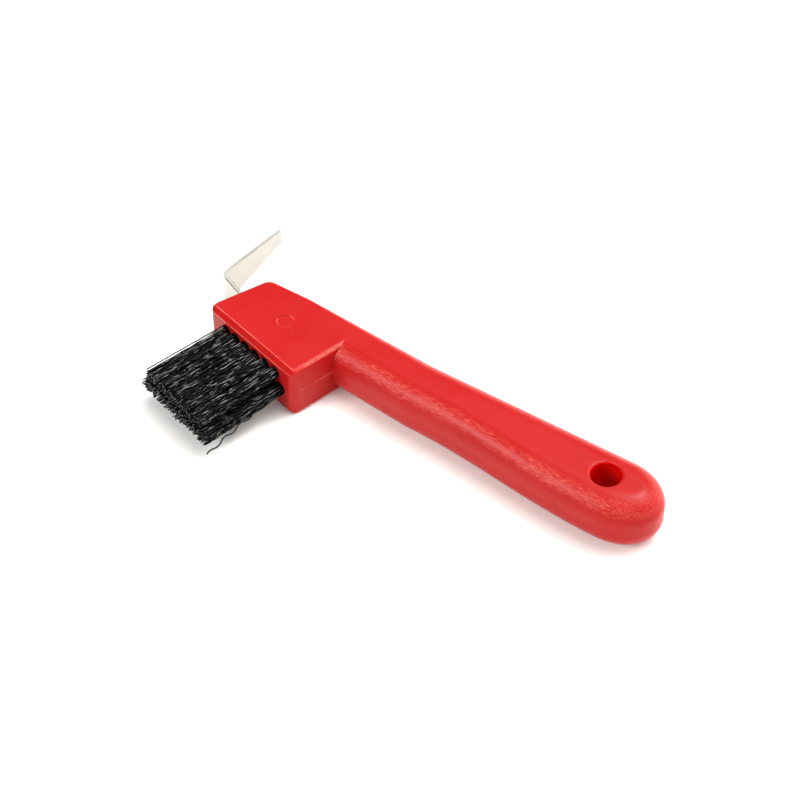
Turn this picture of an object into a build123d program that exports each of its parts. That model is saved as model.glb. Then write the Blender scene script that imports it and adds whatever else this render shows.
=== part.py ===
from build123d import *
import math
import os

# Hoof pick with a brush: a one-piece moulded plastic body (head and handle), a bent flat steel pick
# set in the head's end face, and thirteen bristle tufts, each folded over its own wire anchor in a
# blind hole.  Millimetres, +X runs along the handle towards the head, +Y is the bristle side, +Z up.
# The origin is on the resting plane, under the middle of the overall box.

# ---- body
thickness = 20.0                # of the head and the handle
corner_x, corner_y = 38.34, 15.07    # head corner between the bristle face and the handle-side face
face_angle = -14.8              # direction of the bristle face, off the handle's axis
face_length = 44.0              # along the bristle face
back_corner_x = 33.1            # back corner of the head, along the handle's axis from the head corner
side_depth = 26.5               # of the handle-side face, down to the neck's flat top
front_corner_round = 2.7
tip_corner_round = 2.8
back_corner_round = 4.0
edge_round = 1.6
face_bevel = 1.7                # flat bevel along the bristle face's long edges

back_y = -33.1                  # handle's back edge, from the head corner
neck_start, neck_end = 16.0, -34.0    # the head's sharp edges ease into the handle's shoulders here
neck_start_front_y, neck_end_front_y = -18.4, -13.4
belly = (-71.0, -10.4)          # the front edge curves outwards from the neck through here
flare = (-111.0, -7.1)          # to here
end_nose = 16.2                 # length of the rounded end, seen from above
handle_round = 8.0              # shoulders
web_round = 6.0                 # concave corner between the handle-side face and the neck

hole_x, hole_y = -107.1, -19.9     # hang hole, from the head corner
hole_diameter = 10.2
hole_round = 0.9
gate_u, gate_v = 20.8, -14.5       # gate mark on the head's top
gate_diameter = 5.8
gate_depth = 0.2

# ---- pick
strip = 1.4                     # thickness of the steel
strip_width = 12.4
shank_depth = 13.0              # from the bristle face to the shank's bristle-side face, down the end face
shank_out = 14.3                # from the end face to the outside of the bend
bend_round = 1.6                # inside of the bend
blade_length = 32.5             # square to the handle
blade_tip_width = 5.0
blade_tip_round = 1.8
tang_length = 24.0              # inside the head
tang_width = 9.0
tang_hole = 4.5

# ---- tufts and anchors
tuft_pitch = 5.15
row_heights = {"lower": 9.2, "upper": 14.8}
row_counts = {"lower": 7, "upper": 6}
pattern_shift = -0.4            # towards the end face
tuft_radius = 2.15
tip_radius = 2.35
hole_clearance = 0.05
hole_depth = 9.0
bristle_length = 33.5           # outside the head
tuft_splay = 1.2                # each row leans this far away from the other at its tips
tip_round = 0.8                 # the tips' outer edge
anchor_length = 4.9             # bites into the hole's wall at both ends
anchor_width = 1.6
anchor_thickness = 0.35
anchor_depth = 7.6              # middle of the anchor, under the bristle face

os.makedirs("parts", exist_ok=True)

mid = thickness / 2
turn = math.radians(face_angle)
corner = Vector(corner_x, corner_y, 0)
u_dir = Vector(math.cos(turn), math.sin(turn), 0)      # along the bristle face, to the end face
v_dir = Vector(-math.sin(turn), math.cos(turn), 0)     # out of the bristle face


def head_point(u, v, z=0.0):
    """Point at u along the bristle face and v out of it, from the head corner."""
    return corner + u_dir * u + v_dir * v + Vector(0, 0, z)


def axis_point(x, y, z=0.0):
    """Point along and across the handle, from the head corner."""
    return corner + Vector(x, y, z)


# ---- pick: the bent strip seen from above, then its width cut to shape
tip_corner = head_point(face_length, 0)
back_corner = axis_point(back_corner_x, back_y)
side_dir = (tip_corner - back_corner).normalized()     # across the shank, to the bristle side
w_dir = Vector(side_dir.Y, -side_dir.X, 0)             # out of the end face
shank_exit = tip_corner - side_dir * shank_depth
tang_end = shank_exit - w_dir * tang_length
bend = shank_exit + w_dir * shank_out
inner_bend = bend - side_dir * strip - w_dir * (strip * (1 + w_dir.Y) / w_dir.X)
shank_plane = Plane(origin=shank_exit + Vector(0, 0, mid), x_dir=w_dir, z_dir=side_dir)
blade_plane = Plane(origin=bend + Vector(0, 0, mid), x_dir=(0, 1, 0), z_dir=(1, 0, 0))

with BuildPart() as pick:
    with BuildSketch(Plane.XY.offset(mid - strip_width / 2)):
        with BuildLine():
            Polyline(
                tang_end,
                bend,
                bend + Vector(0, -blade_length),
                bend + Vector(-strip, -blade_length),
                inner_bend,
                tang_end - side_dir * strip,
                close=True,
            )
        make_face()
    extrude(amount=strip_width)
    for place, radius in ((bend, bend_round + strip), (inner_bend, bend_round)):
        upright = pick.edges().filter_by(Axis.Z).sort_by_distance(place + Vector(0, 0, mid))
        fillet(upright[0], radius)
    # the blade tapers to a rounded tip
    with BuildSketch(blade_plane) as outline:
        with BuildLine():
            Polyline(
                (60, -strip_width / 2),
                (-4, -strip_width / 2),
                (-blade_length, -blade_tip_width / 2),
                (-blade_length, blade_tip_width / 2),
                (-4, strip_width / 2),
                (60, strip_width / 2),
                close=True,
            )
        make_face()
        fillet(outline.vertices().sort_by(Axis.Y)[:2], blade_tip_round)
    extrude(amount=100, both=True, mode=Mode.INTERSECT)
    # the tang is narrower, with a hole the plastic keys into
    with BuildSketch(shank_plane):
        with Locations((-tang_length, 0)):
            Rectangle(2 * tang_length - 2, 2 * strip_width)
            Rectangle(2 * tang_length - 2, tang_width, mode=Mode.SUBTRACT)
        with Locations((7 - tang_length, 0)):
            Circle(tang_hole / 2)
    extrude(amount=2 * strip, both=True, mode=Mode.SUBTRACT)
pick.part.label = "pick"
export_step(pick.part, "parts/pick.step")

# ---- tufts and their anchors
tufts = []
for row, count in row_counts.items():
    for i in range(count):
        u = face_length / 2 + pattern_shift + (i - (count - 1) / 2) * tuft_pitch
        tufts.append((f"{row}_{i + 1}", u, row_heights[row]))

pattern_mid = sum(row_heights.values()) / 2
anchors = []
for name, u, z in tufts:
    mouth = Plane(origin=head_point(u, 0, z), x_dir=u_dir, z_dir=v_dir)
    lean = Vector(0, 0, math.copysign(tuft_splay, z - pattern_mid))
    tip = Plane(origin=mouth.origin + v_dir * bristle_length + lean, x_dir=u_dir, z_dir=v_dir)

    with BuildPart(mouth.offset(-anchor_depth)) as anchor:
        Box(anchor_length, anchor_thickness, anchor_width)
    anchor.part.label = f"anchor_{name}"
    export_step(anchor.part, f"parts/anchor_{name}.step")
    anchors.append(anchor.part)

    with BuildPart() as tuft:
        with BuildSketch(mouth):
            Circle(tuft_radius)
        with BuildSketch(tip.offset(-tip_round)):
            Circle(tip_radius)
        with BuildSketch(tip):
            Circle(tip_radius - tip_round)
        loft(ruled=True)
        with BuildSketch(mouth):
            Circle(tuft_radius)
        extrude(amount=-(hole_depth - hole_clearance))
        add(anchor.part, mode=Mode.SUBTRACT)
    tuft.part.label = f"tuft_{name}"
    export_step(tuft.part, f"parts/tuft_{name}.step")

# ---- body
face_plane = Plane(origin=head_point(0, 0, mid), x_dir=v_dir, z_dir=-u_dir)
inner_corner = axis_point(neck_start, back_y + 6.5)     # of the head, buried in the neck
inner_edge = Edge.make_line(inner_corner, inner_corner + Vector(0, 0, thickness))
neck_front = axis_point(neck_end, neck_end_front_y) - axis_point(neck_start, neck_start_front_y)
neck_dir = neck_front.normalized()
neck_slope = (neck_end_front_y - neck_start_front_y) / (neck_end - neck_start)
side_slope = v_dir.X / v_dir.Y
web_y = (neck_start_front_y - neck_slope * neck_start) / (1 - neck_slope * side_slope)
web_corner = axis_point(web_y * side_slope, web_y)
web_leg = web_round * math.tan(math.radians((90 + face_angle) / 2))
web_top = web_corner + v_dir * web_leg
web_side = web_corner + neck_dir * web_leg
web_reach = handle_round + 1.5


def outline_rims(solid, joint_x):
    """Top and bottom edges of an extruded outline, without those on the joint plane."""
    levels = solid.edges().group_by(Axis.Z)
    return [e for e in levels[0] + levels[-1] if abs(e.center().X - joint_x) > 0.5]


with BuildPart() as body:
    # head
    with BuildSketch(Plane.XY) as head_plan:
        with BuildLine():
            Polyline(
                head_point(0, 0),
                tip_corner,
                back_corner,
                axis_point(neck_start, back_y),
                inner_corner,
                head_point(0, -side_depth),
                close=True,
            )
        make_face()
        for place, radius in (
            (head_point(0, 0), front_corner_round),
            (tip_corner, tip_corner_round),
            (back_corner, back_corner_round),
        ):
            fillet(head_plan.vertices().sort_by_distance(place)[0], radius)
    extrude(amount=thickness)
    levels = body.edges().group_by(Axis.Z)
    fillet([e for e in levels[0] + levels[-1] if e.distance_to(inner_edge) > 0.01], edge_round)
    # flat bevels along the bristle face
    with BuildSketch(face_plane):
        for side in (-1, 1):
            with BuildLine():
                Polyline(
                    (0.2, side * (mid - face_bevel - 0.2)),
                    (0.2, side * (mid + 0.2)),
                    (-face_bevel - 0.2, side * (mid + 0.2)),
                    close=True,
                )
            make_face()
    extrude(amount=-face_length - 1, mode=Mode.SUBTRACT)
    # handle with its rounded end
    with BuildSketch(Plane.XY):
        with BuildLine():
            Spline(
                axis_point(neck_end, neck_end_front_y),
                axis_point(*belly),
                axis_point(*flare),
                tangents=[(-1, 0), (-1, 0)],
            )
            EllipticalCenterArc(
                axis_point(flare[0], (flare[1] + back_y) / 2),
                end_nose,
                (flare[1] - back_y) / 2,
                start_angle=90,
                arc_size=180,
            )
            Polyline(
                axis_point(flare[0], back_y),
                axis_point(neck_end, back_y),
                axis_point(neck_end, neck_end_front_y),
            )
        make_face()
    handle = extrude(amount=thickness, mode=Mode.PRIVATE)
    handle = handle.fillet(handle_round, outline_rims(handle, axis_point(neck_end, 0).X))
    add(handle)
    # neck, from the head's sharp edges to the handle's shoulders
    for x, front_y, shoulder in (
        (neck_start, neck_start_front_y, edge_round),
        (neck_end, neck_end_front_y, handle_round),
    ):
        centre = axis_point(x, (front_y + back_y) / 2, mid)
        with BuildSketch(Plane(origin=centre, x_dir=(0, 1, 0), z_dir=(1, 0, 0))) as section:
            Rectangle(front_y - back_y, thickness)
            fillet(section.vertices().group_by(Axis.X)[-1], handle_round)
            fillet(section.vertices().group_by(Axis.X)[0], shoulder)
    loft()
    # web that rounds out the corner between head and neck
    with BuildSketch(Plane.XY):
        with BuildLine():
            Polyline(
                web_top,
                web_top + u_dir * web_reach,
                web_side + Vector(web_reach, -web_reach),
                web_side - Vector(0, web_reach),
                web_side,
            )
            RadiusArc(web_side, web_top, -web_round)
        make_face()
    web = extrude(amount=thickness, mode=Mode.PRIVATE)
    web_rims = [e for e in web.edges().filter_by(GeomType.CIRCLE)]
    add(web.fillet(handle_round, web_rims))
    # hang hole, its rims rounded
    bore, rim = hole_diameter / 2, hole_diameter / 2 + hole_round
    hole_plane = Plane(origin=axis_point(hole_x, hole_y), x_dir=(1, 0, 0), z_dir=(0, -1, 0))
    with BuildSketch(hole_plane):
        with BuildLine():
            Polyline((bore, hole_round), (bore, thickness - hole_round))
            RadiusArc((bore, thickness - hole_round), (rim, thickness), hole_round)
            Polyline((rim, thickness), (rim, thickness + 1), (0, thickness + 1))
            Polyline((0, thickness + 1), (0, -1), (rim, -1), (rim, 0))
            RadiusArc((rim, 0), (bore, hole_round), hole_round)
        make_face()
    revolve(axis=Axis(hole_plane.origin, (0, 0, 1)), mode=Mode.SUBTRACT)
    # gate mark
    with BuildSketch(Plane.XY.offset(thickness)):
        with Locations(head_point(gate_u, gate_v)):
            Circle(gate_diameter / 2)
    extrude(amount=-gate_depth, mode=Mode.SUBTRACT)
    # seats of the tufts, the anchors and the tang
    for (name, u, z), anchor_part in zip(tufts, anchors):
        with BuildSketch(Plane(origin=head_point(u, 0, z), x_dir=u_dir, z_dir=v_dir)):
            Circle(tuft_radius + hole_clearance)
        extrude(amount=-hole_depth, mode=Mode.SUBTRACT)
        add(anchor_part, mode=Mode.SUBTRACT)
    add(pick.part, mode=Mode.SUBTRACT)
body.part.label = "body"
export_step(body.part, "parts/body.step")
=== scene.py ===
import math
import random

import bpy
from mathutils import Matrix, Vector


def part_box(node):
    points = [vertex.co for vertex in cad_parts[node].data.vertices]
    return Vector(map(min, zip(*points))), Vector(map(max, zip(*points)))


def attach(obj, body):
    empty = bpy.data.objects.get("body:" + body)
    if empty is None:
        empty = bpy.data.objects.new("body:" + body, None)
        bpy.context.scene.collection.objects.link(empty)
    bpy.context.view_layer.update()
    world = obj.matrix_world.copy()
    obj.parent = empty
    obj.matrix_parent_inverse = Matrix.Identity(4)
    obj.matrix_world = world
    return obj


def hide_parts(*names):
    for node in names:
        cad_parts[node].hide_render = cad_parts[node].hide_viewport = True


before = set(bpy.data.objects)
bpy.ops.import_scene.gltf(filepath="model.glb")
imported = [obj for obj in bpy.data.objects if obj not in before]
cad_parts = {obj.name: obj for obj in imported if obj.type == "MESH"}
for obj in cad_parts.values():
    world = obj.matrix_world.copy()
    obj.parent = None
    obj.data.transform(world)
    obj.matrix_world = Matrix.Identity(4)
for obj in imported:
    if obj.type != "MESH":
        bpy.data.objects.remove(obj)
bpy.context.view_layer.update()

MM = 0.001
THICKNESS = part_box("body")[1].z

# the head's corner between its bristle face and its handle-side face, and its own directions:
# U runs along the bristle face, V straight out of it
CORNER = Vector((38.34, 15.07, 0)) * MM
FACE_ANGLE = math.radians(-14.8)
U = Vector((math.cos(FACE_ANGLE), math.sin(FACE_ANGLE), 0))
V = Vector((-math.sin(FACE_ANGLE), math.cos(FACE_ANGLE), 0))
Z = Vector((0, 0, 1))
FACE_LENGTH = 44.0 * MM
FACE_BEVEL = 1.7 * MM
GATE = (20.8 * MM, -14.5 * MM)      # gate mark on the head's top, from CORNER along U and V
GATE_RADIUS = 2.9 * MM
TIP_CORNER = CORNER + U * FACE_LENGTH
TO_BACK_CORNER = Vector((33.1, -33.1, 0)) * MM      # from CORNER, across the head
SIDE = (TIP_CORNER - CORNER - TO_BACK_CORNER).normalized()      # across the shank
OUT = Vector((SIDE.y, -SIDE.x, 0))      # out of the head's end face, along the shank
SHANK = (13.0 * MM, 14.4 * MM)          # its two faces, in from the head's tip corner
SHANK_OUT = 12.5 * MM                   # to where the bend starts
HANG_HOLE = Vector((-68.76, -4.83, 0)) * MM
HANG_RADIUS = 5.1 * MM

# the tufts, as in the CAD
BRISTLE_LENGTH = 33.5 * MM      # outside the head
HOLE_DEPTH = 9.0 * MM
HOLE_RADIUS = 2.15 * MM
ROW_COUNTS = {"lower": 7, "upper": 6}
ROW_HEIGHTS = {"lower": 9.2 * MM, "upper": 14.8 * MM}


# ---------------------------------------------------------------- shader nodes

def feed(tree, node, inputs):
    """Sets a node's inputs to values, or links the sockets that feed them."""
    for key, value in inputs.items():
        if isinstance(value, bpy.types.NodeSocket):
            tree.links.new(value, node.inputs[key])
        else:
            node.inputs[key].default_value = value


def add(tree, kind, inputs=None, **settings):
    """One shader node."""
    node = tree.nodes.new("ShaderNode" + kind)
    for key, value in settings.items():
        setattr(node, key, value)
    feed(tree, node, inputs or {})
    return node


def new_material(name):
    """A material, its node tree, its Principled shader and its object coordinates in metres."""
    material = bpy.data.materials.new(name)
    material.use_nodes = True
    tree = material.node_tree
    return material, tree, tree.nodes["Principled BSDF"], add(tree, "TexCoord").outputs["Object"]


def math_node(tree, operation, *values):
    return add(tree, "Math", dict(enumerate(values)), operation=operation).outputs[0]


def total(tree, *values):
    result = values[0]
    for value in values[1:]:
        result = math_node(tree, "ADD", result, value)
    return result


def times(tree, *values):
    result = values[0]
    for value in values[1:]:
        result = math_node(tree, "MULTIPLY", result, value)
    return result


def hypotenuse(tree, a, b):
    return math_node(tree, "SQRT", total(tree, times(tree, a, a), times(tree, b, b)))


def parts(tree, vector):
    """The X, Y and Z of a vector."""
    return add(tree, "SeparateXYZ", {0: vector}).outputs


def dot_product(tree, vector, axis):
    return add(tree, "VectorMath", {0: vector, 1: axis}, operation="DOT_PRODUCT").outputs["Value"]


def distance_along(tree, coords, axis, origin):
    """How far a point is from the origin in the direction of the axis."""
    return math_node(tree, "SUBTRACT", dot_product(tree, coords, axis), origin.dot(axis))


def levelness(tree):
    """0 on a wall, 1 on a face that looks straight up or down."""
    normal = parts(tree, add(tree, "NewGeometry").outputs["Normal"])
    return math_node(tree, "ABSOLUTE", normal["Z"])


def remap(tree, value, low, high, to_low=0.0, to_high=1.0):
    """Smooth step of a value from low..high to to_low..to_high."""
    inputs = {"Value": value, "From Min": low, "From Max": high, "To Min": to_low, "To Max": to_high}
    return add(tree, "MapRange", inputs, interpolation_type="SMOOTHSTEP").outputs["Result"]


def near(tree, value, place, width):
    """1 where the value is at place, falling to 0 at width from it."""
    gap = math_node(tree, "ABSOLUTE", math_node(tree, "SUBTRACT", value, place))
    return remap(tree, gap, width, width * 0.25)


def mix(tree, factor, a, b):
    """Colour mix."""
    return add(tree, "Mix", {0: factor, 6: a, 7: b}, data_type="RGBA").outputs[2]


def layered(tree, colour, layers):
    """A colour with (mask, amount, tint) layers over it, each on top of the one before."""
    for mask, amount, tint in layers:
        colour = mix(tree, times(tree, mask, amount), colour, (*tint, 1))
    return colour


def noise(tree, coords, scale, detail=2.0, rough=0.5, turn=0.0, stretch=(1, 1, 1)):
    """Noise of the given scale, turned about Z by degrees and then drawn out."""
    spun = add(tree, "Mapping", {"Vector": coords, "Rotation": (0, 0, math.radians(turn))})
    drawn = add(tree, "Mapping", {"Vector": spun.outputs[0], "Scale": stretch})
    inputs = {"Vector": drawn.outputs[0], "Scale": scale, "Detail": detail, "Roughness": rough}
    return add(tree, "TexNoise", inputs).outputs["Fac"]


def patches(tree, coords, scale, low, high, to_low=0.0, detail=2.0):
    """Cloudy patches: to_low off a patch, 1 on it."""
    return remap(tree, noise(tree, coords, scale, detail), low, high, to_low, 1.0)


def scratches(tree, coords, turn, width, length, cover=0.0):
    """Thin straight scratches in one direction: 1 on a scratch, 0 off it. More cover, more of them."""
    field = noise(tree, coords, 1 / width, 1.0, 0.5, turn, (width / length, 1, 1))
    return remap(tree, field, 0.74 - cover, 0.78 - cover)


def bump(tree, height, distance):
    inputs = {"Height": height, "Distance": distance, "Strength": 1.0}
    return add(tree, "Bump", inputs).outputs["Normal"]


# ---------------------------------------------------------------- materials

def head_marks(tree, coords, shoulder, along, outward, offset):
    """Masks on the head: edge chips, parting line, painted highlight lines on the bevel edges, bevels,
    gate mark's rim painted lighter as a highlight.
    Along and outward are from CORNER, along U and V, and offset is the height over mid-thickness."""
    half = THICKNESS / 2
    rise = math_node(tree, "ABSOLUTE", offset)

    # short nicks across the handle-side top edge
    chips = times(
        tree, shoulder,
        remap(tree, along, 3.0 * MM, 1.8 * MM), remap(tree, along, -1.0 * MM, -0.4 * MM),
        remap(tree, outward, -23 * MM, -20 * MM),
        scratches(tree, coords, math.degrees(-FACE_ANGLE), 0.20 * MM, 1.8 * MM, 0.20),
        patches(tree, coords, 240, 0.40, 0.52),
    )

    # parting line of the mould, at half the thickness: it shows on the handle-side face
    line = times(
        tree, near(tree, offset, 0.0, 0.17 * MM), near(tree, along, 0.0, 0.6 * MM),
        remap(tree, outward, -3.2 * MM, -4.4 * MM), remap(tree, outward, -19 * MM, -16 * MM),
        patches(tree, coords, 210, 0.36, 0.50, 0.15),
    )

    # painted highlight: light lines along both edges of the bevels that frame the bristle face
    inner = times(
        tree, near(tree, outward, -FACE_BEVEL, 0.20 * MM),
        remap(tree, rise, half - 0.6 * MM, half - 0.2 * MM),
    )
    outer = times(
        tree, near(tree, rise, half - FACE_BEVEL, 0.20 * MM),
        remap(tree, outward, -0.6 * MM, -0.2 * MM),
    )
    inside = times(
        tree, remap(tree, along, 0.3 * MM, 1.5 * MM),
        remap(tree, along, FACE_LENGTH - 0.6 * MM, FACE_LENGTH - 2.5 * MM),
    )
    edge = times(
        tree, math_node(tree, "MAXIMUM", inner, outer), inside,
        patches(tree, coords, 260, 0.30, 0.55, 0.45, 3.0),
    )

    # the bevels themselves
    bevel = times(
        tree, remap(tree, outward, -FACE_BEVEL - 0.1 * MM, -FACE_BEVEL + 0.2 * MM),
        remap(tree, rise, half - FACE_BEVEL - 0.1 * MM, half - FACE_BEVEL + 0.2 * MM),
    )

    # raised rim of the gate mark on the top, painted lighter as a highlight
    gap = hypotenuse(
        tree, math_node(tree, "SUBTRACT", along, GATE[0]),
        math_node(tree, "SUBTRACT", outward, GATE[1]),
    )
    ring = times(
        tree, near(tree, gap, GATE_RADIUS, 0.30 * MM),
        remap(tree, offset, 0.4 * THICKNESS, 0.48 * THICKNESS),
        patches(tree, coords, 330, 0.42, 0.58),
    )
    return chips, line, edge, bevel, ring


def red_plastic():
    """Moulded red plastic: semi-gloss, drag lines and rubbed shoulders with a painted highlight band,
    a parting line, painted highlights on the bevel edges and the gate mark's rim, painted light in the
    hang hole.
    """
    material, tree, shader, coords = new_material("red_plastic")
    place = parts(tree, coords)
    along = distance_along(tree, coords, U, CORNER)
    outward = distance_along(tree, coords, V, CORNER)
    offset = math_node(tree, "SUBTRACT", place["Z"], THICKNESS / 2)
    cloud = noise(tree, coords, 55, 3.0)
    streak = noise(tree, coords, 2900, 3.0, 0.6, 3, (0.15, 1, 1))
    grain = noise(tree, coords, 3400, 2.0, 0.6)

    # rounded shoulders, where hands and hooks have rubbed, without the bristle face's bevels; the
    # rubbed band on them is also painted lighter as a highlight
    level = levelness(tree)
    shoulder = times(
        tree, remap(tree, level, 0.34, 0.58), remap(tree, level, 0.97, 0.86),
        remap(tree, outward, -FACE_BEVEL, -FACE_BEVEL - 1.5 * MM),
    )
    wear_and_highlight = times(
        tree, shoulder, remap(tree, streak, 0.40, 0.66), remap(tree, cloud, 0.30, 0.60, 0.45, 1.0)
    )

    # loose scratches in a few directions, and short ones across the shoulders
    fine = total(
        tree,
        scratches(tree, coords, 8, 0.10 * MM, 9 * MM),
        scratches(tree, coords, -24, 0.09 * MM, 7 * MM),
        scratches(tree, coords, 61, 0.09 * MM, 6 * MM),
    )
    nicks = times(
        tree, shoulder,
        scratches(tree, coords, 78, 0.16 * MM, 2.2 * MM, 0.10),
        patches(tree, coords, 90, 0.45, 0.6),
    )
    chips, line, edge, bevel, ring = head_marks(tree, coords, shoulder, along, outward, offset)

    # painted light: the wall of the hang hole is painted a brighter, deeper red, for light that passes
    # between its sides
    radius = hypotenuse(
        tree, math_node(tree, "SUBTRACT", place["X"], HANG_HOLE.x),
        math_node(tree, "SUBTRACT", place["Y"], HANG_HOLE.y),
    )
    wall = remap(tree, radius, HANG_RADIUS + 0.35 * MM, HANG_RADIUS + 0.05 * MM)

    # small pits and specks, on a few of the cells
    cells = add(tree, "TexVoronoi", {"Vector": coords, "Scale": 260.0, "Randomness": 1.0}).outputs
    speck = times(
        tree, remap(tree, cells["Distance"], 0.075, 0.03),
        remap(tree, parts(tree, cells["Color"])["X"], 0.80, 0.84),
    )

    colour = mix(tree, cloud, (0.365, 0.0056, 0.0056, 1), (0.42, 0.0092, 0.0084, 1))
    colour = layered(tree, colour, (
        # painted highlight band on the shoulders, together with their rubbed wear
        (wear_and_highlight, 0.34, (0.86, 0.19, 0.15)),
        (fine, 0.16, (0.90, 0.22, 0.17)),
        (nicks, 0.30, (0.92, 0.28, 0.22)),
        (chips, 0.55, (0.95, 0.36, 0.29)),
        (line, 0.60, (0.92, 0.25, 0.20)),
        # painted highlight lines on the bevel edges
        (edge, 0.55, (0.95, 0.23, 0.18)),
        # painted highlight on the gate mark's rim
        (ring, 0.26, (0.95, 0.25, 0.20)),
        # painted light inside the hang hole
        (wall, 1.0, (0.62, 0.003, 0.003)),
        (speck, 0.5, (0.40, 0.008, 0.010)),
    ))
    rough = total(
        tree, remap(tree, cloud, 0.3, 0.7, 0.27, 0.35),
        times(tree, wear_and_highlight, 0.20), times(tree, fine, 0.12), times(tree, nicks, 0.15),
        times(tree, math_node(tree, "SUBTRACT", grain, 0.5), 0.14),
    )
    height = total(
        tree, times(tree, grain, 0.10), times(tree, noise(tree, coords, 330, 2.0), 0.55),
        times(tree, shoulder, streak, 0.50), times(tree, fine, -0.12), times(tree, nicks, -0.35),
        times(tree, speck, -0.5), times(tree, chips, 0.6), times(tree, line, 1.2),
        times(tree, edge, 0.6), times(tree, ring, 0.6),
    )
    dull = math_node(tree, "MAXIMUM", bevel, wall)
    feed(tree, shader, {
        "Base Color": colour,
        "Roughness": rough,
        "IOR": 1.49,
        "Specular IOR Level": remap(tree, dull, 0.0, 1.0, 0.17, 0.05),
        "Subsurface Weight": 0.20,
        "Subsurface Radius": (1.0, 0.08, 0.05),
        "Subsurface Scale": 3 * MM,
        "Normal": bump(tree, height, 0.06 * MM),
    })
    return material


def bright_steel():
    """Flat steel strip: bright on its rolled faces, darker and burred on its sheared edges, with
    painted shade along the shank's top edges.
    """
    material, tree, shader, coords = new_material("bright_steel")
    edge = remap(tree, levelness(tree), 0.45, 0.80)
    cloud = noise(tree, coords, 130, 3.0)
    brushed = noise(tree, coords, 5200, 2.0, 0.6, 0, (1, 0.035, 0.5))
    shear = noise(tree, coords, 4200, 2.0, 0.6, 0, (1, 1, 0.06))
    sheared = times(tree, edge, remap(tree, shear, 0.45, 0.62))
    fine = total(
        tree,
        scratches(tree, coords, 84, 0.08 * MM, 6 * MM, 0.02),
        scratches(tree, coords, 40, 0.07 * MM, 5 * MM),
    )
    stain = remap(tree, noise(tree, coords, 240, 4.0, 0.65), 0.60, 0.74)

    # painted shade: dark brown lines along both edges of the shank's top face, at its sheared top edge
    depth = distance_along(tree, coords, -SIDE, TIP_CORNER)
    out = distance_along(tree, coords, OUT, TIP_CORNER)
    shank_edge = times(tree, edge, remap(tree, out, SHANK_OUT, SHANK_OUT - 2 * MM))
    outer_shade_line = times(tree, shank_edge, near(tree, depth, SHANK[0], 0.55 * MM))
    inner_shade_line = times(
        tree, shank_edge, near(tree, depth, SHANK[1], 0.40 * MM),
        patches(tree, coords, 500, 0.35, 0.60, 0.3, 3.0),
    )

    colour = mix(tree, cloud, (0.45, 0.43, 0.39, 1), (0.57, 0.55, 0.51, 1))
    colour = layered(tree, colour, (
        (stain, 0.45, (0.42, 0.35, 0.27)),
        (edge, 0.55, (0.62, 0.60, 0.54)),
        (sheared, 0.5, (0.20, 0.17, 0.13)),
        # painted shade along both edges of the shank's top face
        (outer_shade_line, 0.92, (0.030, 0.022, 0.016)),
        (inner_shade_line, 0.65, (0.12, 0.09, 0.06)),
    ))
    rough = total(
        tree, remap(tree, cloud, 0.3, 0.7, 0.24, 0.34), times(tree, brushed, 0.10),
        times(tree, edge, 0.18), times(tree, stain, 0.15), times(tree, fine, 0.10),
    )
    height = total(
        tree, times(tree, brushed, 0.45), times(tree, edge, shear, 1.2), times(tree, fine, -0.5),
        times(tree, noise(tree, coords, 420, 2.0), 0.5),
    )
    feed(tree, shader, {
        "Base Color": colour,
        "Metallic": 1.0,
        "Roughness": rough,
        "Normal": bump(tree, height, 0.025 * MM),
    })
    return material


def black_filament():
    """Extruded black plastic filament, uneven in gloss along its length and a little dusty."""
    material, tree, shader, coords = new_material("black_filament")
    cloud = noise(tree, coords, 900, 2.0)
    dust = remap(tree, noise(tree, coords, 2600, 3.0, 0.6), 0.58, 0.74)
    colour = mix(tree, cloud, (0.0008, 0.0008, 0.0009, 1), (0.003, 0.003, 0.0032, 1))
    sheen = noise(tree, coords, 1900, 2.0, 0.5, math.degrees(-FACE_ANGLE), (1, 0.12, 1))
    feed(tree, shader, {
        "Base Color": layered(tree, colour, ((dust, 0.05, (0.060, 0.058, 0.054)),)),
        "Roughness": total(tree, remap(tree, cloud, 0.3, 0.7, 0.08, 0.15), times(tree, dust, 0.10)),
        "IOR": 1.50,
        "Specular IOR Level": remap(tree, sheen, 0.50, 0.64, 0.05, 1.0),
        "Normal": bump(tree, noise(tree, coords, 6000, 2.0), 0.004 * MM),
    })
    return material


def anchor_wire():
    """Drawn flat wire, dull from being driven into the hole."""
    material, tree, shader, coords = new_material("anchor_wire")
    cloud = noise(tree, coords, 700, 3.0)
    drawn = noise(tree, coords, 7000, 2.0, 0.6, 13.8, (0.06, 1, 1))     # about along the wire
    feed(tree, shader, {
        "Base Color": mix(tree, cloud, (0.38, 0.35, 0.31, 1), (0.62, 0.60, 0.56, 1)),
        "Metallic": 1.0,
        "Roughness": total(tree, remap(tree, cloud, 0.3, 0.7, 0.30, 0.46), times(tree, drawn, 0.10)),
        "Normal": bump(tree, drawn, 0.02 * MM),
    })
    return material


def pale_floor():
    """Plain off-white paper, lifted a little by a faint glow."""
    material, tree, shader, coords = new_material("pale_floor")
    cloud = noise(tree, coords, 14, 3.0)
    feed(tree, shader, {
        "Base Color": mix(tree, cloud, (0.90, 0.895, 0.87, 1), (0.93, 0.925, 0.90, 1)),
        "Roughness": 0.75,
        "Specular IOR Level": 0.2,
        "Emission Color": (1.0, 0.99, 0.97, 1),
        "Emission Strength": 0.06,
    })
    return material


def paint(node, material):
    """Gives a CAD node its material in every slot that it has."""
    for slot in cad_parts[node].material_slots:
        slot.link = "OBJECT"
        slot.material = material


def new_object(name, data):
    """An object for a mesh, light or camera, linked into the scene."""
    item = bpy.data.objects.new(name, data)
    bpy.context.scene.collection.objects.link(item)
    return item


# ---------------------------------------------------------------- filaments

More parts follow.
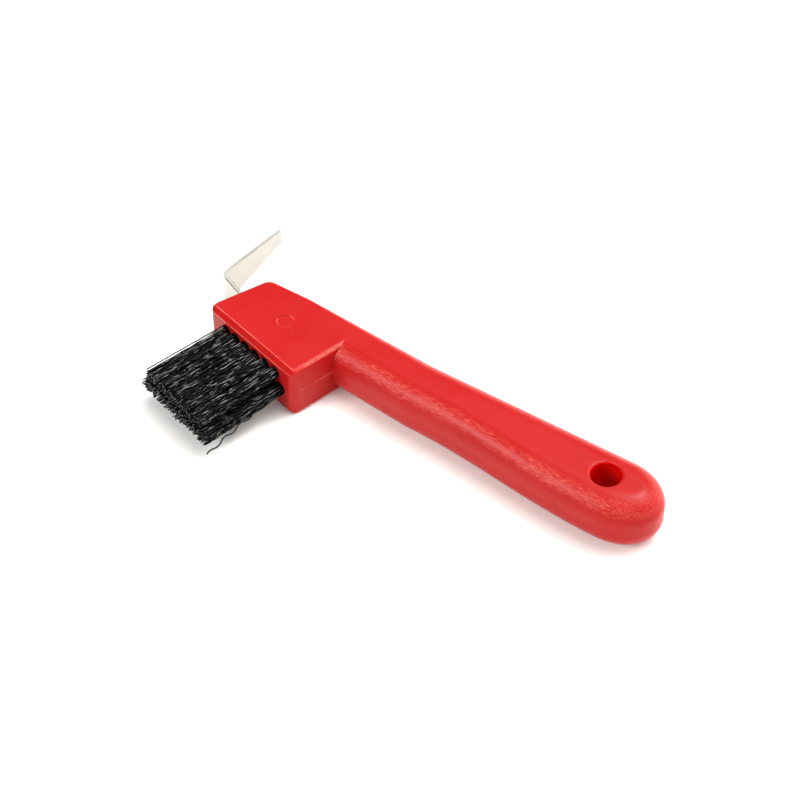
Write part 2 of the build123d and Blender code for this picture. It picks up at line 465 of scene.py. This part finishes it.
FILAMENT_RADIUS = 0.26 * MM
RADIUS_RANGE = (0.92, 1.06)     # times the radius
FILAMENT_SIDES = 6
FILAMENTS = 33                  # in a tuft
RING_STEP = 0.8 * MM            # between a filament's rings
FEWEST_RINGS = 8
CRIMP_PERIOD = 6.6 * MM
PERIOD_RANGE = (0.96, 1.04)     # times the period
CRIMP_PLANE = (-0.5, 0.5)       # radians out of level, for a whole tuft
CRIMP_SWING = (0.11, 0.26)      # mm, to either side of the line
HELD_CRIMP = 0.2                # share of the crimp that is left inside the hole
FREE_LENGTH = 7 * MM            # over which the crimp grows to its full swing
BOW = (0, 0.5)                  # mm, of a filament between its ends
ROOT_DEPTH = 2.0 * MM           # of a filament's start inside its hole
ROOT_CLEARANCE = 0.03 * MM      # between the outer filaments and the hole's wall
TIP_HEIGHTS = {"lower": 7.7 * MM, "upper": 13.9 * MM}
TIP_REACH = (3.4 * MM, 2.7 * MM)    # of a tuft at its tips, along the face and up
TIP_SHIFT = (0.5, -1.1)         # mm along the face, next to the handle and added by the end face
CUT_BACK = (0.3, 1.1)           # mm shorter, likewise
TIP_SCATTER = (0.18 * MM, 0.25 * MM)    # of single tips, along the face and up
CUT_SCATTER = 0.30 * MM         # of single lengths
LOOSE_SHARE = 0.07              # of the filaments, which stand apart from their tuft
LOOSE_REACH = 1.1               # times the reach of the others
NESTING = {False: 0.55, True: 1.6}      # radians that a crimp is out of step, the second if loose

# a filament that has worked loose: its tip's place from the mouth along the face, out and up,
# and its crimp's swing, all in mm
STRAYS = {"tuft_lower_1": (-2.6, 32.9, -7.2, 0.45)}


def disc_points(count, rng):
    """Points spread evenly over a unit disc, each a little off its place."""
    golden = math.pi * (3 - math.sqrt(5))
    turn = rng.uniform(0, math.tau)
    points = []
    for i in range(count):
        r = math.sqrt((i + 0.5) / count)
        a = turn + i * golden + rng.uniform(-0.15, 0.15)
        points.append((r * math.cos(a), r * math.sin(a)))
    return points


def crimped_line(start, end, rng, plane, phase, swing, bow, spread=0.6):
    """Points along a crimped filament. The crimp lies in one plane and the line bows slightly.
    With spread below 1 it moves aside soon after its hole, and above 1 it does so late."""
    along = end - start
    length = along.length
    drift = along - V * along.dot(V)
    along.normalize()
    side = along.cross(Z).normalized()
    up = side.cross(along)
    crimp = side * math.cos(plane) + up * math.sin(plane)
    turn = rng.uniform(0, math.tau)
    bend = side * math.cos(turn) + up * math.sin(turn)
    period = CRIMP_PERIOD * rng.uniform(*PERIOD_RANGE)
    count = max(FEWEST_RINGS, round(length / RING_STEP))
    points = []
    for i in range(count + 1):
        t = i / count
        s = t * length
        free = min(1.0, max(0.0, (s - ROOT_DEPTH) / FREE_LENGTH))
        grown = HELD_CRIMP + (1 - HELD_CRIMP) * free
        wave = math.sin(math.tau * s / period + phase) * swing * grown
        aside = drift * (t ** spread - t)
        sag = bend * bow * math.sin(math.pi * t) * free
        points.append(start + along * s + aside + crimp * wave + sag)
    return points


def tube(points, radius, verts, faces):
    """A closed round tube along the points, added to verts and faces."""
    base = len(verts)
    side = None
    for i, point in enumerate(points):
        ahead = points[min(i + 1, len(points) - 1)] - points[max(i - 1, 0)]
        ahead.normalize()
        if side is None:
            side = ahead.cross(Z if abs(ahead.z) < 0.9 else U)
        side = (side - ahead * side.dot(ahead)).normalized()
        up = ahead.cross(side)
        for k in range(FILAMENT_SIDES):
            a = math.tau * k / FILAMENT_SIDES
            verts.append(point + (side * math.cos(a) + up * math.sin(a)) * radius)
    last = base + (len(points) - 1) * FILAMENT_SIDES
    for ring in range(base, last, FILAMENT_SIDES):
        for k in range(FILAMENT_SIDES):
            a, b = ring + k, ring + (k + 1) % FILAMENT_SIDES
            faces.append((a, b, b + FILAMENT_SIDES, a + FILAMENT_SIDES))
    faces.append(tuple(base + k for k in reversed(range(FILAMENT_SIDES))))
    faces.append(tuple(last + k for k in range(FILAMENT_SIDES)))


def tuft(row, index, material):
    """A bundle of crimped filaments in place of one plain CAD tuft."""
    node = f"tuft_{row}_{index}"
    rng = random.Random(node)
    low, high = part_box(node)
    mouth = (low + high) / 2 - V * (BRISTLE_LENGTH - HOLE_DEPTH) / 2
    mouth.z = ROW_HEIGHTS[row]
    share = (index - 1) / (ROW_COUNTS[row] - 1)         # 0 at the handle, 1 at the end face
    cut = BRISTLE_LENGTH - (CUT_BACK[0] + CUT_BACK[1] * share) * MM
    middle = mouth + U * (TIP_SHIFT[0] + TIP_SHIFT[1] * share) * MM     # of the tips, at V = 0
    middle.z = TIP_HEIGHTS[row]
    root = HOLE_RADIUS - FILAMENT_RADIUS - ROOT_CLEARANCE
    plane = rng.uniform(*CRIMP_PLANE)
    phase = rng.uniform(0, math.tau)
    verts, faces = [], []
    for x, y in disc_points(FILAMENTS, rng):
        loose = rng.random() < LOOSE_SHARE
        start = mouth - V * ROOT_DEPTH + (U * x + Z * y) * root
        reach = LOOSE_REACH if loose else 1.0
        end = middle + V * (cut - abs(rng.gauss(0, CUT_SCATTER)))
        end += U * (x * reach * TIP_REACH[0] + rng.gauss(0, TIP_SCATTER[0]))
        end += Z * (y * reach * TIP_REACH[1] + rng.gauss(0, TIP_SCATTER[1]))
        nest = NESTING[loose]
        points = crimped_line(
            start, end, rng, plane=plane + rng.gauss(0, nest), phase=phase + rng.gauss(0, nest),
            swing=rng.uniform(*CRIMP_SWING) * MM, bow=rng.uniform(*BOW) * MM,
        )
        tube(points, FILAMENT_RADIUS * rng.uniform(*RADIUS_RANGE), verts, faces)
    if node in STRAYS:
        du, dv, dz, swing = STRAYS[node]
        start = mouth - V * ROOT_DEPTH - Z * root * 0.6 - U * root * 0.6    # low and to the handle
        end = mouth + U * du * MM + V * dv * MM + Z * dz * MM
        points = crimped_line(
            start, end, rng, plane=rng.uniform(0.2, 0.9), phase=1.0, swing=swing * MM, bow=0.3 * MM,
            spread=1.6,
        )
        tube(points, FILAMENT_RADIUS, verts, faces)
    mesh = bpy.data.meshes.new(f"filaments_{row}_{index}")
    mesh.from_pydata(verts, [], faces)
    mesh.polygons.foreach_set("use_smooth", [len(p.vertices) == 4 for p in mesh.polygons])
    mesh.materials.append(material)
    piece = new_object(mesh.name, mesh)
    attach(piece, "root")
    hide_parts(node)


# ---------------------------------------------------------------- the object

paint("body", red_plastic())
paint("pick", bright_steel())
wire = anchor_wire()
filament = black_filament()
for row, count in ROW_COUNTS.items():
    for index in range(1, count + 1):
        paint(f"anchor_{row}_{index}", wire)
        tuft(row, index, filament)

# ---------------------------------------------------------------- the studio

FLOOR_REACH = 3.0
FLOOR_LEVEL = -0.02 * MM        # just under the resting face, which would otherwise flicker with it
OVERHEAD = (-0.12, -0.36, 0.925)    # towards the bright ceiling, a little behind the object
BACKDROP = (-0.90, -0.43, 0)        # towards the bright wall, beyond the handle's end

floor_mesh = bpy.data.meshes.new("floor")
floor_mesh.from_pydata(
    [(x * FLOOR_REACH, y * FLOOR_REACH, FLOOR_LEVEL) for x, y in ((-1, -1), (1, -1), (1, 1), (-1, 1))],
    [], [(0, 1, 2, 3)],
)
floor_mesh.materials.append(pale_floor())
floor = new_object("floor", floor_mesh)

# a white studio: bright overhead, dimmer half way up, and pale low down, above all at the backdrop
world = bpy.data.worlds.new("studio")
bpy.context.scene.world = world
world.use_nodes = True
sky = world.node_tree
toward = add(sky, "TexCoord").outputs["Generated"]
ceiling = remap(sky, dot_product(sky, toward, OVERHEAD), 0.80, 0.97, 0.0, 4.6)
horizon = remap(sky, parts(sky, toward)["Z"], 0.50, 0.05, 0.30, 0.80)
backdrop = remap(sky, dot_product(sky, toward, BACKDROP), -0.4, 0.9, 0.45, 3.2)
feed(sky, sky.nodes["Background"], {
    "Color": (1.0, 0.995, 0.98, 1),
    "Strength": total(sky, ceiling, times(sky, horizon, backdrop)),
})


def softbox(name, place, size, watts):
    """A rectangular light that looks at the origin."""
    light = bpy.data.lights.new(name, "AREA")
    light.shape = "RECTANGLE"
    light.size, light.size_y = size
    light.energy = watts
    item = new_object(name, light)
    item.location = place
    item.rotation_euler = (-Vector(place)).to_track_quat("-Z", "Y").to_euler()


softbox("key_light", (-0.15, -0.50, 0.98), (0.34, 0.34), 4.0)
softbox("shoulder_light", (0.45, 0.80, 0.62), (0.45, 0.35), 8.0)

bpy.context.scene.view_settings.view_transform = "Standard"
bpy.context.scene.view_settings.look = "None"

# ---------------------------------------------------------------- the camera

TARGET = CORNER + Vector((-24.62, -26.58, 0)) * MM      # in the middle of the photograph
AZIMUTH, ELEVATION, DISTANCE = math.radians(124.3), math.radians(45.47), 0.831

flat = math.cos(ELEVATION)
back = Vector((math.cos(AZIMUTH) * flat, math.sin(AZIMUTH) * flat, math.sin(ELEVATION)))
lens = bpy.data.cameras.new("camera")
lens.lens, lens.sensor_width = 112.5, 36
lens.clip_start, lens.clip_end = 0.05, 20
camera = new_object("camera", lens)
camera.location = TARGET + back * DISTANCE
camera.rotation_euler = (-back).to_track_quat("-Z", "Y").to_euler()
bpy.context.scene.camera = camera
